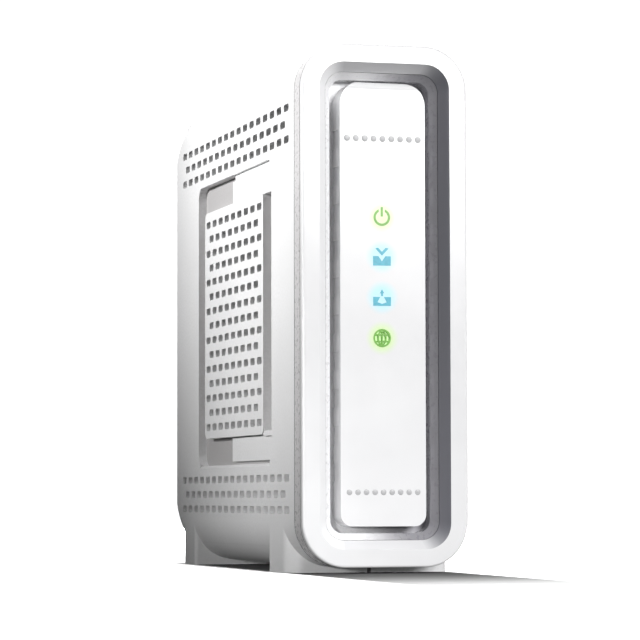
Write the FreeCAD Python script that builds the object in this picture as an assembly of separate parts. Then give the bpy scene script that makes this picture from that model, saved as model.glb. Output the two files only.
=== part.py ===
import FreeCAD, Part
import math
import os

# Upright cable modem. Millimetres. X is across the width, -Y is the front, +Y the connectors, +Z up.
# The origin is the middle of the outer box, on the surface that the feet stand on.
# A "depth" is a distance behind the bezel's front face.

V = FreeCAD.Vector
X_AXIS = V(1, 0, 0)
Y_AXIS = V(0, 1, 0)
Z_AXIS = V(0, 0, 1)

# ---- housing ----
WIDTH = 42.6            # across the flat sides
BODY_DEPTH = 137.0      # bezel front to the back wall's outside
CONNECTOR_REACH = 9.0   # the coaxial thread stands this far out of the back wall
BODY_BOTTOM = 1.5       # underside of the body over the floor
BODY_TOP = 130.9
CORNER_R = 11.0         # the four long edges, seen from the front
REAR_CORNER_R = 6.2     # what they narrow to at the back wall
REAR_R = 13.0           # top and bottom rear corners, seen from the side
REAR_SWEEP = 75.0       # degrees of that corner before the flat back wall cuts it off
REAR_EDGE_R = 1.4       # upright rear edges
WALL = 2.0
HALF_GROOVE = 0.2       # half width of the shadow groove where the two shells meet
GROOVE_DEPTH = 0.5

# ---- bezel, band and trim ----
BEZEL_LIP = 2.0         # thickness of the bezel at its outer edge
SEAM_GAP = 0.35         # shadow lines between bezel, band and shells
SEAM_DEPTH = 0.9
BAND_BACK = 7.3
SLEEVE_INSET = 2.1      # the bezel's sleeve slides inside band and shells
SLEEVE_WALL = 1.9
SLEEVE_BACK = 12.0
FACE_RING = 4.45        # width of the bezel's flat face
FACE_OPENING_R = 6.4
BEZEL_SLOPE = (2.2, 2.7)        # inward run and depth of the bezel's own slope
LIP_SLOPE = (3.95, 4.95)        # inward run and depth where the trim's slope ends
LIP_R = 3.2
TRIM_GAP = 0.1
TRIM_WALL = 1.3
CHANNEL_FLOOR = 9.0
FLOOR_THICK = 1.0
PAD_PITCH = 9.2         # pads along the trim's long sides and notches along the panel's
PAD_LENGTH = 4.6
PAD_COUNT = 11
PAD_RISE = 0.12
NOTCH_DEPTH = 0.3

# ---- front panel and its lit symbols ----
PANEL_HALF = 11.0
PANEL_BOTTOM = 11.6
PANEL_TOP = 122.0
PANEL_FACE = 2.04
PANEL_LOW_R = 3.0       # lower and upper corners, seen from the front
PANEL_HIGH_R = 5.8
PANEL_BROW_R = 2.7      # rounding along the panel's top edge
PANEL_WALL = 1.6
SYMBOL_PITCH = 10.0
SYMBOL_BOTTOM = 58.1
SYMBOL_SHIFT = -0.25
SYMBOL_PROUD = 0.04
STROKE = 0.6
SYMBOL_R = 1.85         # centre line of the round symbols
TRAY_HALF = 2.3         # half width of the tray in the arrow symbols
GLOBE_R = 2.05          # centre line of the globe's rim
GLOBE_RIM = 0.44
GLOBE_LINE = 0.34
GLOBE_RELIEF = 0.3

# ---- vents and recess, the same on both sides ----
SLOT_LENGTH = 4.7
SLOT_HEIGHT = 1.9
SLOT_R = 0.7
SLOT_PITCH = 7.0
ROW_PITCH = 4.0
STRIP_START = 15.0
STRIP_COLUMNS = 17
STRIP_ROWS = 3
TOP_STRIP = 108.4       # lowest row of the upper strip
BOTTOM_STRIP = 15.6
ISLAND_START = 42.2
ISLAND_COLUMNS = 9
ISLAND_ROWS = 15
ISLAND_ROW = 38.1
RECESS = (29.8, 110.0, 27.5, 105.3)     # front and back depth, bottom and top
ISLAND = (38.2, 102.2, 35.0, 97.6)
RECESS_R = 3.5
ISLAND_R = 2.0
RECESS_DEPTH = 2.3
BACKING = 1.2           # how far the recess's inner wall laps behind the island
LIT_CHAMFER = 0.7       # along the recess's bottom outer edge
# Raised lands in the recess: drop below the side face, where they end, bottom and top.
LANDS = [
    (0.25, 71.0, ISLAND[3] - 0.6, RECESS[3] - 1.9),
    (0.9, 71.0, RECESS[3] - 2.0, RECESS[3] + 1.0),
    (1.2, 75.5, RECESS[2] + 0.9, ISLAND[2] - 0.3),
    (0.3, ISLAND[0] + 1.0, ISLAND[2] - 0.4, ISLAND[2] + 0.9),
]

FRONT_FOOT = (14.9, 31.8)
REAR_FOOT = (114.6, 126.7)
FOOT_R = 4.5            # front corners of the front foot
FOOT_GAP = 0.5          # half the notch between the two halves of a foot

# ---- inside ----
BOARD_LEFT = 6.8        # component face of the upright main board
BOARD_RIGHT = 8.4
BOARD = (14.0, 128.0, 12.0, 118.0)
SOLDER_GAP = 0.05       # components stand this far off the board
POST_R = 3.2
POST_SCREW_R = 1.1
POST_PLACES = [(45.0, 31.2), (100.0, 31.2), (45.0, 101.4), (100.0, 101.4)]
CHIP_PLACE = (62.0, 62.0)
CHIP_SIZE = 19.0
CHIP_THICK = 1.3
PAD_THICK = 0.5
SINK_SIZE = 36.0
SINK_BASE = 2.0
SINK_REACH = -8.5
FIN_PITCH = 4.2
FIN_THICK = 1.1
SINK_PIN_SPREAD = 15.0

# ---- back ----
OPENING_HALF = 15.4
OPENING = (16.0, 116.5)
OPENING_R = 4.0
FLANGE = 1.5
FIT_GAP = 0.1
BACK_PANEL_FACE = 136.5
COAX_Z = 46.0
ETHERNET_Z = 76.0
POWER_Z = 24.5
RESET_PLACE = (3.3, 60.0)       # x and z
THREAD_R = 4.76         # 3/8 inch thread, outside the nut
BARREL_R = 4.5          # plain barrel inside the thread
THREAD_START = 139.5
NUT_FLATS = 12.7
CASE_SCREWS = [(-12.0, 109.0), (12.0, 20.9)]

# ---- worked out from those ----
HALF = WIDTH / 2
FRONT = -(BODY_DEPTH + CONNECTOR_REACH) / 2
SHELL_FRONT = BAND_BACK + SEAM_GAP
SYMBOL_HEIGHTS = [SYMBOL_BOTTOM + i * SYMBOL_PITCH for i in range(4)]
COMPONENT_FACE = BOARD_LEFT - SOLDER_GAP


# ---- helpers ----
def box(x0, x1, d0, d1, z0, z1):
    """Block between two widths, two depths and two heights."""
    return Part.makeBox(x1 - x0, d1 - d0, z1 - z0, V(x0, FRONT + d0, z0))


def rod_y(radius, d0, d1, x, z):
    """Cylinder from depth d0 to depth d1."""
    return Part.makeCylinder(radius, d1 - d0, V(x, FRONT + d0, z), Y_AXIS)


def rod_x(radius, x0, x1, d, z):
    """Cylinder across the width."""
    return Part.makeCylinder(radius, x1 - x0, V(x0, FRONT + d, z), X_AXIS)


def fused(shapes):
    if len(shapes) == 1:
        return shapes[0]
    return shapes[0].fuse(shapes[1:]).removeSplitter()


def edges_along(shape, direction):
    found = []
    for edge in shape.Edges:
        run = edge.Vertexes[-1].Point.sub(edge.Vertexes[0].Point)
        if run.Length > 1e-6 and abs(abs(run.normalize().dot(direction)) - 1) < 1e-6:
            found.append(edge)
    return found


def rounded(block, radius, direction):
    """Round a block's four edges along one direction."""
    return block.makeFillet(radius, edges_along(block, direction))


def ring_outline(inset, d0, d1, radius=None):
    """Solid of the housing's front outline, shrunk by inset."""
    if radius is None:
        radius = max(CORNER_R - inset, 1.0)
    block = box(-HALF + inset, HALF - inset, d0, d1, BODY_BOTTOM + inset, BODY_TOP - inset)
    return rounded(block, radius, Y_AXIS)


def outline_wire(inset, radius, d, drop=0.0):
    """Rounded rectangle of the housing's outline at a depth; drop lowers its top and lifts its bottom."""
    side = HALF - inset
    low = BODY_BOTTOM + inset + drop
    high = BODY_TOP - inset - drop
    y = FRONT + d
    cut = radius * (1 - math.sqrt(0.5))
    corners = [(side, low, 1, 1), (side, high, 1, -1), (-side, high, -1, -1), (-side, low, -1, 1)]
    arcs = []
    for x, z, sx, sz in corners:
        level_end = V(x - sx * radius, y, z)
        upright_end = V(x, y, z + sz * radius)
        middle = V(x - sx * cut, y, z + sz * cut)
        ends = (level_end, upright_end) if sx == sz else (upright_end, level_end)
        arcs.append(Part.Arc(ends[0], middle, ends[1]))
    edges = []
    for i, curve in enumerate(arcs):
        following = arcs[(i + 1) % len(arcs)]
        edges.append(curve.toShape())
        edges.append(Part.makeLine(curve.EndPoint, following.StartPoint))
    return Part.Wire(edges)


def funnel(inset0, r0, d0, inset1, r1, d1):
    """Tapered plug between two rounded rectangles at two depths."""
    return Part.makeLoft([outline_wire(inset0, r0, d0), outline_wire(inset1, r1, d1)], True, True)


def upright_prism(points, z0, z1):
    """Prism whose plan is given as (x, depth) points."""
    corners = [V(x, FRONT + d, z0) for x, d in points]
    return Part.Face(Part.makePolygon(corners + [corners[0]])).extrude(V(0, 0, z1 - z0))


def face_prism(points, d0, d1):
    """Prism whose front view is given as (x, z) points."""
    corners = [V(x, FRONT + d0, z) for x, z in points]
    return Part.Face(Part.makePolygon(corners + [corners[0]])).extrude(V(0, d1 - d0, 0))


# ---- housing shells ----
def body_envelope(inset, front):
    """The housing's outer form from a depth to the back, shrunk by inset at the sides and back."""
    rear_r = REAR_R - inset
    back = BODY_DEPTH - inset
    sweep = math.radians(REAR_SWEEP)
    corner_start = back - rear_r * math.sin(sweep)
    run_in = 4.0
    edge_r = CORNER_R - inset
    straight = ring_outline(inset, front, corner_start - run_in)
    sections = [outline_wire(inset, edge_r, corner_start - run_in)]
    steps = 5
    for i in range(steps + 1):
        angle = sweep * i / steps
        drop = rear_r * (1 - math.cos(angle))
        radius = edge_r - (CORNER_R - REAR_CORNER_R) * (angle / sweep) ** 2
        sections.append(outline_wire(inset, radius, corner_start + rear_r * math.sin(angle), drop))
    tail = Part.makeLoft(sections, True, False)
    plan = box(-HALF + inset, HALF - inset, front, back, 0, BODY_TOP + 1)
    rear_edges = [e for e in edges_along(plan, Z_AXIS) if e.CenterOfMass.y > FRONT + back - 1e-3]
    plan = plan.makeFillet(REAR_EDGE_R - 0.5 * inset, rear_edges)
    return straight.fuse(tail).common(plan)


def feet():
    """Two bars across the underside, cut at the middle where the shells meet."""
    bars = []
    for d0, d1 in (FRONT_FOOT, REAR_FOOT):
        bar = box(-HALF, HALF, d0, d1, 0, BODY_BOTTOM + CORNER_R - 0.1)
        front_edges = [e for e in edges_along(bar, Z_AXIS) if e.CenterOfMass.y < FRONT + d0 + 1e-3]
        bars.append(bar.makeFillet(FOOT_R if d0 == FRONT_FOOT[0] else 1.0, front_edges))
    notch = box(-FOOT_GAP, FOOT_GAP, 0, BODY_DEPTH, -1, BODY_BOTTOM)
    return bars[0].fuse(bars[1]).cut(notch)


def slot(d, z):
    """One vent slot through the left wall."""
    block = box(-HALF - 1, -HALF + WALL + 1, d - SLOT_LENGTH / 2, d + SLOT_LENGTH / 2,
                z - SLOT_HEIGHT / 2, z + SLOT_HEIGHT / 2)
    return rounded(block, SLOT_R, X_AXIS)


def slot_field(start, columns, bottom, rows):
    """Staggered rows: every other row is one slot shorter and half a pitch over."""
    slots = []
    for row in range(rows):
        short = row % 2
        for column in range(columns - short):
            slots.append(slot(start + (column + short / 2) * SLOT_PITCH, bottom + row * ROW_PITCH))
    return slots


def all_slots():
    slots = slot_field(STRIP_START, STRIP_COLUMNS, TOP_STRIP, STRIP_ROWS)
    slots += slot_field(STRIP_START, STRIP_COLUMNS, BOTTOM_STRIP, STRIP_ROWS)
    slots += slot_field(ISLAND_START, ISLAND_COLUMNS, ISLAND_ROW, ISLAND_ROWS)
    return slots


def side_block(area, grow, radius, x0, x1):
    """Rounded rectangle in the side view, grown on every side."""
    d0, d1, z0, z1 = area
    return rounded(box(x0, x1, d0 - grow, d1 + grow, z0 - grow, z1 + grow), radius, X_AXIS)


def recess():
    """The moat round the island on the left side, less its raised lands, with the chamfer below it."""
    outside = -HALF - 1
    floor = -HALF + RECESS_DEPTH
    moat = side_block(RECESS, 0, RECESS_R, outside, floor)
    moat = moat.cut(side_block(ISLAND, 0, ISLAND_R, outside - 1, floor + 1))
    lands = [box(-HALF + drop, floor + 1, RECESS[0] - 1, back, z0, z1) for drop, back, z0, z1 in LANDS]
    edge = RECESS[2]
    near, deep = -HALF - 0.1, -HALF + LIT_CHAMFER
    wedge = [(near, edge - LIT_CHAMFER - 0.1), (deep, edge), (deep, edge + 0.2), (near, edge + 0.2)]
    chamfer = face_prism(wedge, RECESS[0] + 1.5, RECESS[1] - 1.5)
    return moat.cut(lands).fuse(chamfer)


def recess_backing():
    """Wall behind the moat, on the inside of the left shell."""
    near = -HALF + WALL - 0.5
    far = -HALF + RECESS_DEPTH + WALL
    ring = side_block(RECESS, WALL, RECESS_R + WALL, near, far)
    return ring.cut(side_block(ISLAND, -BACKING, ISLAND_R, near - 1, far + 1))


def board_posts():
    """Posts on the right wall that carry the main board."""
    wall = HALF - RECESS_DEPTH - WALL
    posts = []
    for d, z in POST_PLACES:
        post = rod_x(POST_R, BOARD_RIGHT, wall + 0.5, d, z)
        posts.append(post.cut(rod_x(POST_SCREW_R + 0.05, BOARD_RIGHT - 1, BOARD_RIGHT + 7, d, z)))
    return posts


def case_boss(place):
    """Post with a rib to the side wall that takes one case screw."""
    x, z = place
    side = math.copysign(1, x)
    front, back = BODY_DEPTH - 8.4, BODY_DEPTH - 3.9
    rib_ends = sorted((x, side * (HALF - WALL + 0.5)))
    boss = rod_y(2.9, front, back, x, z).fuse(box(rib_ends[0], rib_ends[1], front, back, z - 1.2, z + 1.2))
    return boss.cut(rod_y(1.45, front - 1, back + 1, x, z))


def seam_groove():
    skin = ring_outline(0, SHELL_FRONT - 1, BODY_DEPTH + 1)
    slab = box(-HALF_GROOVE, HALF_GROOVE, SHELL_FRONT, BODY_DEPTH + 1, 0, BODY_TOP + 1)
    inner = body_envelope(GROOVE_DEPTH, SHELL_FRONT - 2)
    return skin.common(slab).cut(inner)


def half_shells():
    """Left and right shells, mirror images but for the posts inside."""
    outer = body_envelope(0, SHELL_FRONT).fuse(feet())
    inner = body_envelope(WALL, SHELL_FRONT - 1)
    opening = rounded(box(-OPENING_HALF, OPENING_HALF, BODY_DEPTH - 6, BODY_DEPTH + 1, *OPENING),
                      OPENING_R, Y_AXIS)
    tube = outer.cut([inner, opening, seam_groove()])
    left = tube.common(box(-HALF - 1, 0, 0, BODY_DEPTH + 1, -1, BODY_TOP + 1))
    left = left.fuse(recess_backing())
    left = left.cut([recess()] + all_slots())
    right = left.mirror(V(0, 0, 0), X_AXIS)
    left = left.fuse(case_boss(CASE_SCREWS[0]))
    right = right.fuse([case_boss(CASE_SCREWS[1])] + board_posts())
    return {"left_shell": left, "right_shell": right}


# ---- front ----
def front_bezel():
    """Glossy face ring, the start of the funnel, and a sleeve that slides into band and shells."""
    face = ring_outline(0, 0, BEZEL_LIP)
    rim = [e for e in face.Edges if e.BoundBox.YMax < FRONT + 1e-3]
    face = face.makeFillet(0.6, rim)
    slope_end = FACE_RING + BEZEL_SLOPE[0]
    block = ring_outline(SLEEVE_INSET, BEZEL_LIP - 0.5, BEZEL_SLOPE[1] + 0.6)
    sleeve = ring_outline(SLEEVE_INSET, BEZEL_LIP, SLEEVE_BACK)
    hollow = ring_outline(SLEEVE_INSET + SLEEVE_WALL, BEZEL_SLOPE[1] + 0.6, SLEEVE_BACK + 1)
    solid = fused([face, block, sleeve]).cut(hollow)
    r_end = FACE_OPENING_R - BEZEL_SLOPE[0] * 0.8
    mouth = funnel(FACE_RING, FACE_OPENING_R, 0, slope_end, r_end, BEZEL_SLOPE[1])
    mouth_front = ring_outline(FACE_RING, -1, 0, FACE_OPENING_R)
    throat = ring_outline(slope_end, BEZEL_SLOPE[1], BEZEL_SLOPE[1] + 2, r_end)
    return solid.cut([mouth, mouth_front, throat])


def bezel_band():
    """Narrow ring between bezel and shells, with a tongue that leaves the two shadow lines."""
    ring = ring_outline(0, BEZEL_LIP + SEAM_GAP, BAND_BACK)
    tongue = ring_outline(SEAM_DEPTH, BEZEL_LIP, SHELL_FRONT)
    bore = ring_outline(SLEEVE_INSET, 0, SHELL_FRONT + 1)
    return ring.fuse(tongue).cut(bore)


def lip_pads():
    """Small wedges spaced along both long sides of the trim's slope."""
    lip_x = HALF - FACE_RING - LIP_SLOPE[0]
    run = LIP_SLOPE[0] - BEZEL_SLOPE[0]
    fall = LIP_SLOPE[1] - BEZEL_SLOPE[1]
    plan = [(lip_x, LIP_SLOPE[1] + 0.3), (lip_x, LIP_SLOPE[1]),
            (lip_x + run * 0.1, LIP_SLOPE[1] - fall * 0.1 - PAD_RISE),
            (lip_x + run * 0.5, LIP_SLOPE[1] - fall * 0.5), (lip_x + run * 0.5, LIP_SLOPE[1])]
    pads = []
    for z in pad_heights():
        pad = upright_prism(plan, z - PAD_LENGTH / 2, z + PAD_LENGTH / 2)
        pads += [pad, pad.mirror(V(0, 0, 0), X_AXIS)]
    return pads


def pad_heights():
    middle = (BODY_TOP + BODY_BOTTOM) / 2
    return [middle + (i - (PAD_COUNT - 1) / 2) * PAD_PITCH for i in range(PAD_COUNT)]


def channel_trim():
    """Tray inside the bezel: end of the funnel, channel wall and floor, with a window for light."""
    start = FACE_RING + BEZEL_SLOPE[0]
    r_start = FACE_OPENING_R - BEZEL_SLOPE[0] * 0.8
    lip_inset = FACE_RING + LIP_SLOPE[0]
    front = BEZEL_SLOPE[1] + TRIM_GAP
    nose = ring_outline(start + TRIM_GAP, front, front + 1.5, r_start - TRIM_GAP)
    flange = ring_outline(SLEEVE_INSET + SLEEVE_WALL + TRIM_GAP, BEZEL_SLOPE[1] + 0.7, LIP_SLOPE[1] + 0.6)
    wall = ring_outline(lip_inset - TRIM_WALL, LIP_SLOPE[1], CHANNEL_FLOOR + FLOOR_THICK, LIP_R + TRIM_WALL)
    solid = fused([nose, flange, wall])
    mouth = funnel(start, r_start, BEZEL_SLOPE[1], lip_inset, LIP_R, LIP_SLOPE[1])
    channel = ring_outline(lip_inset, LIP_SLOPE[1], CHANNEL_FLOOR, LIP_R)
    window = box(-3.4, 5.6, CHANNEL_FLOOR - 1, CHANNEL_FLOOR + 3,
                 SYMBOL_HEIGHTS[0] - 4.2, SYMBOL_HEIGHTS[3] + 4.2)
    return solid.cut([mouth, channel, window]).fuse(lip_pads())


def front_panel():
    """Raised plate with a rounded top edge, hollow behind, pierced by the four symbols."""
    plate = box(-PANEL_HALF, PANEL_HALF, PANEL_FACE, CHANNEL_FLOOR, PANEL_BOTTOM, PANEL_TOP)
    corners = edges_along(plate, Y_AXIS)
    plate = plate.makeFillet(PANEL_LOW_R, [e for e in corners if e.CenterOfMass.z < PANEL_BOTTOM + 1e-3])
    high_corners = [e for e in edges_along(plate, Y_AXIS) if e.CenterOfMass.z > PANEL_TOP - 1e-3]
    plate = plate.makeFillet(PANEL_HIGH_R, high_corners)
    brow = box(-PANEL_HALF - 1, PANEL_HALF + 1, PANEL_FACE, CHANNEL_FLOOR, PANEL_BOTTOM - 5, PANEL_TOP)
    top_edge = [e for e in edges_along(brow, X_AXIS)
                if e.CenterOfMass.z > PANEL_TOP - 1e-3 and e.CenterOfMass.y < FRONT + PANEL_FACE + 1e-3]
    plate = plate.common(brow.makeFillet(PANEL_BROW_R, top_edge))
    half = PANEL_HALF - PANEL_WALL
    hollow = box(-half, half, PANEL_FACE + PANEL_WALL, CHANNEL_FLOOR + 1,
                 PANEL_BOTTOM + PANEL_WALL, PANEL_TOP - PANEL_WALL - 1)
    notches = []
    for z in pad_heights():
        for side in (-1, 1):
            inner, outer = sorted((side * (PANEL_HALF - NOTCH_DEPTH), side * (PANEL_HALF + 1)))
            z0 = z + PAD_PITCH / 2 - PAD_LENGTH / 2
            if z0 + PAD_LENGTH < PANEL_TOP - PANEL_HIGH_R:
                notches.append(box(inner, outer, PANEL_FACE + 1.4, CHANNEL_FLOOR + 1, z0, z0 + PAD_LENGTH))
    return plate.cut([hollow] + notches + list(symbol_lenses(1.0).values()))


def ring_y(outer, inner, d0, d1, x, z):
    return rod_y(outer, d0, d1, x, z).cut(rod_y(inner, d0 - 1, d1 + 1, x, z))


def power_symbol(d0, d1, x, z):
    """Broken ring with an upright bar in its gap."""
    ring = ring_y(SYMBOL_R + STROKE / 2, SYMBOL_R - STROKE / 2, d0, d1, x, z)
    gap = STROKE * 1.3
    ring = ring.cut(box(x - gap, x + gap, d0 - 1, d1 + 1, z, z + 4))
    bar = box(x - STROKE / 2, x + STROKE / 2, d0, d1, z + 0.2, z + SYMBOL_R + 0.75)
    return Part.makeCompound([ring, bar])


def receive_symbol(d0, d1, x, z):
    """Open tray with a chevron pointing down into it."""
    low, rim = z - 2.0, z + 0.35
    tray = face_prism([(x - TRAY_HALF, low), (x + TRAY_HALF, low), (x + TRAY_HALF, rim), (x + 0.9, rim),
                       (x, rim - 1.3), (x - 0.9, rim), (x - TRAY_HALF, rim)], d0, d1)
    arms = face_prism([(x, rim + 0.1), (x + 1.7, rim + 1.9), (x + 1.0, rim + 2.1), (x, rim + 1.1),
                       (x - 1.0, rim + 2.1), (x - 1.7, rim + 1.9)], d0, d1)
    return Part.makeCompound([tray, arms])


def send_symbol(d0, d1, x, z):
    """Open tray with an arrowhead rising out of it."""
    low, rim = z - 2.0, z + 0.2
    tray = face_prism([(x - TRAY_HALF, low), (x + TRAY_HALF, low), (x + TRAY_HALF, rim), (x + 0.5, rim),
                       (x + 1.2, low + 0.9), (x, low + 0.5), (x - 1.2, low + 0.9), (x - 0.5, rim),
                       (x - TRAY_HALF, rim)], d0, d1)
    head = face_prism([(x - 0.55, rim + 0.9), (x - 0.25, rim + 0.9), (x - 0.25, rim + 0.25),
                       (x + 0.25, rim + 0.25), (x + 0.25, rim + 0.9), (x + 0.55, rim + 0.9),
                       (x, rim + 1.9)], d0, d1)
    return Part.makeCompound([tray, head])


def online_symbol(d0, d1, x, z):
    """Globe: a disc whose rim, meridians and parallels stand a little proud."""
    line = GLOBE_LINE / 2
    rim = GLOBE_RIM / 2
    panes = rod_y(GLOBE_R + rim, d0 + GLOBE_RELIEF, d1, x, z)
    outer = ring_y(GLOBE_R + rim, GLOBE_R - rim, d0, d1, x, z)
    bars = [box(x - line, x + line, d0, d1, z - GLOBE_R, z + GLOBE_R)]
    for offset in (-0.8, 0.8):
        bars.append(box(x - GLOBE_R, x + GLOBE_R, d0, d1, z + offset - line, z + offset + line))
    bow = GLOBE_R + 0.55
    for side in (-1, 1):
        bars.append(ring_y(bow, bow - GLOBE_LINE, d0, d1, x + side * (bow - 1.15), z))
    web = fused(bars).common(rod_y(GLOBE_R, d0, d1, x, z))
    return fused([panes, outer, web])


def symbol_lenses(extra=0.0):
    """The four lit symbols, as deep as the panel's wall; extra runs them past both faces as cutters."""
    d0 = PANEL_FACE - SYMBOL_PROUD - extra
    d1 = PANEL_FACE + PANEL_WALL + extra
    makers = [("online_light", online_symbol), ("send_light", send_symbol),
              ("receive_light", receive_symbol), ("power_light", power_symbol)]
    lenses = {}
    for (name, maker), z in zip(makers, SYMBOL_HEIGHTS):
        lenses[name] = maker(d0, d1, SYMBOL_SHIFT, z)
    return lenses


def light_guide():
    """Four bent bars on one spine, from the board's front edge to the back of the panel."""
    start = PANEL_FACE + PANEL_WALL + FIT_GAP
    plan = [(-2.7, start), (2.7, start), (2.7, 7.0), (6.6, 13.4), (3.4, 13.4), (-2.7, 7.0)]
    bars = [upright_prism(plan, z - 2.7, z + 2.7) for z in SYMBOL_HEIGHTS]
    spine = box(-2.2, 2.2, start + 1.0, start + 2.2, SYMBOL_HEIGHTS[0] - 2, SYMBOL_HEIGHTS[3] + 2)
    return fused(bars + [spine])


def indicator_leds():
    leds = []
    for z in SYMBOL_HEIGHTS:
        body = box(3.6, COMPONENT_FACE, 14.6, 17.6, z - 1.5, z + 1.5)
        dome = rod_y(1.1, 13.6, 14.6, 5.1, z)
        leds.append(body.fuse(dome))
    return Part.makeCompound(leds)


# ---- main board and what stands on it ----
def on_board(d, z, length, height, rise, stand=0.0):
    """Block on the board's component face, by its middle, its length (front to back) and height."""
    face = COMPONENT_FACE - stand
    return box(face - rise, face, d - length / 2, d + length / 2, z - height / 2, z + height / 2)


def main_board():
    board = rounded(box(BOARD_LEFT, BOARD_RIGHT, *BOARD), 2.0, X_AXIS)
    holes = [rod_x(1.6, BOARD_LEFT - 1, BOARD_RIGHT + 1, d, z) for d, z in POST_PLACES]
    holes += [rod_x(1.6, BOARD_LEFT - 1, BOARD_RIGHT + 1, d, z) for d, z in sink_pin_places()]
    return board.cut(holes)


def board_screws():
    screws = []
    for d, z in POST_PLACES:
        head = rod_x(2.7, BOARD_LEFT - 1.8, BOARD_LEFT, d, z)
        cross = fused([box(BOARD_LEFT - 2, BOARD_LEFT - 0.9, d - 1.5, d + 1.5, z - 0.3, z + 0.3),
                       box(BOARD_LEFT - 2, BOARD_LEFT - 0.9, d - 0.3, d + 0.3, z - 1.5, z + 1.5)])
        shank = rod_x(POST_SCREW_R, BOARD_LEFT, BOARD_RIGHT + 6, d, z)
        screws.append(head.cut(cross).fuse(shank))
    return Part.makeCompound(screws)


def modem_chip():
    return on_board(*CHIP_PLACE, CHIP_SIZE, CHIP_SIZE, CHIP_THICK)


def thermal_pad():
    return on_board(*CHIP_PLACE, CHIP_SIZE - 1, CHIP_SIZE - 1, PAD_THICK, CHIP_THICK)


def sink_pin_places():
    d, z = CHIP_PLACE
    return [(d - SINK_PIN_SPREAD, z + SINK_PIN_SPREAD), (d + SINK_PIN_SPREAD, z - SINK_PIN_SPREAD)]


def sink_base_face():
    return COMPONENT_FACE - CHIP_THICK - PAD_THICK


def heatsink():
    """Base plate with upright fins, cut back round its two push pins."""
    d, z = CHIP_PLACE
    base_face = sink_base_face()
    half = SINK_SIZE / 2
    parts = [box(base_face - SINK_BASE, base_face, d - half, d + half, z - half, z + half)]
    count = int((SINK_SIZE - FIN_THICK) / FIN_PITCH) + 1
    first = d - (count - 1) * FIN_PITCH / 2
    for i in range(count):
        middle = first + i * FIN_PITCH
        parts.append(box(SINK_REACH, base_face - SINK_BASE + 0.1,
                         middle - FIN_THICK / 2, middle + FIN_THICK / 2, z - half, z + half))
    sink = fused(parts)
    for pd, pz in sink_pin_places():
        sink = sink.cut(rod_x(4.2, SINK_REACH - 1, base_face - SINK_BASE, pd, pz))
        sink = sink.cut(rod_x(1.6, base_face - SINK_BASE - 1, base_face + 1, pd, pz))
    return sink


def heatsink_pins():
    top = sink_base_face() - SINK_BASE
    pins = []
    for d, z in sink_pin_places():
        head = rod_x(2.6, top - 1.6, top - 0.02, d, z)
        shank = rod_x(1.35, top - 0.1, BOARD_RIGHT + 0.3, d, z)
        barb = Part.makeCone(2.1, 0.9, 2.2, V(BOARD_RIGHT + 0.3, FRONT + d, z), X_AXIS)
        pins.append(fused([head, shank, barb]))
    return Part.makeCompound(pins)


def leaded_chip(d, z, length, height, rise, leads):
    """Flat package with gull-wing leads along its front and back edges."""
    parts = [on_board(d, z, length, height, rise, 0.15)]
    pitch = height / (leads + 0.2)
    for i in range(leads):
        lead_z = z + (i - (leads - 1) / 2) * pitch
        parts.append(on_board(d, lead_z, length + 2.0, pitch * 0.4, 0.25))
    return fused(parts)


def memory_chip():
    return leaded_chip(62.0, 93.5, 10.2, 18.4, 1.1, 14)


def flash_chip():
    return leaded_chip(88.0, 93.5, 5.3, 5.3, 1.7, 4)


def tuner_place():
    return 99.0, COAX_Z


def tuner_shield_frame():
    d, z = tuner_place()
    fence = on_board(d, z, 30.0, 23.0, 3.4)
    return fence.cut(on_board(d, z, 29.2, 22.2, 9.0, -1.0))


def tuner_shield_lid():
    """Pressed lid over the fence, with a few vent holes."""
    d, z = tuner_place()
    lid = on_board(d, z, 31.0, 24.0, 2.4, 1.35).cut(on_board(d, z, 30.1, 23.1, 2.05, 1.35))
    holes = []
    for i in range(5):
        for j in range(4):
            holes.append(rod_x(0.9, -2, COMPONENT_FACE, d - 10 + 5 * i, z - 7.5 + 5 * j))
    return lid.cut(holes)


def tuner_chip():
    return on_board(*tuner_place(), 7.0, 7.0, 0.9)


def ethernet_transformer():
    return leaded_chip(107.5, ETHERNET_Z, 9.0, 15.5, 5.6, 8)


def capacitor_can(d, z, radius, rise):
    """Radial can with a rolled groove near its base and a bevelled top."""
    can = rod_x(radius, COMPONENT_FACE - rise, COMPONENT_FACE, d, z)
    top = [e for e in can.Edges if e.BoundBox.XMax < COMPONENT_FACE - rise + 1e-3]
    can = can.makeFillet(0.5, top)
    groove = Part.makeTorus(radius + 0.15, 0.45, V(COMPONENT_FACE - 1.8, FRONT + d, z), X_AXIS)
    return can.cut(groove)


def electrolytic_capacitors():
    places = [(101.0, 22.0, 4.0, 11.5), (91.5, 22.0, 4.0, 11.5),
              (82.5, 22.0, 3.15, 8.0), (30.0, 45.0, 3.15, 8.0)]
    return Part.makeCompound([capacitor_can(*place) for place in places])


def power_inductors():
    coils = []
    for d, z in ((70.5, 22.0), (60.5, 22.0)):
        coils.append(rounded(on_board(d, z, 7.2, 7.2, 3.6), 1.2, X_AXIS))
    return Part.makeCompound(coils)


def voltage_regulators():
    return Part.makeCompound([leaded_chip(d, 30.5, 3.9, 4.9, 1.5, 4) for d in (61.0, 75.0)])


def crystal():
    can = rounded(on_board(34.0, 72.0, 4.6, 10.8, 3.4), 2.25, X_AXIS)
    return can.fuse(on_board(34.0, 72.0, 5.4, 11.6, 0.4))


def ceramic_capacitors():
    """Small bypass parts in two rows beside the chips."""
    parts = []
    for i in range(8):
        parts.append(on_board(40.0, 46.0 + 4.0 * i, 1.2, 2.0, 0.9))
        parts.append(on_board(84.5, 60.0 + 3.2 * i, 1.2, 2.0, 0.9))
    return Part.makeCompound(parts)


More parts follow.
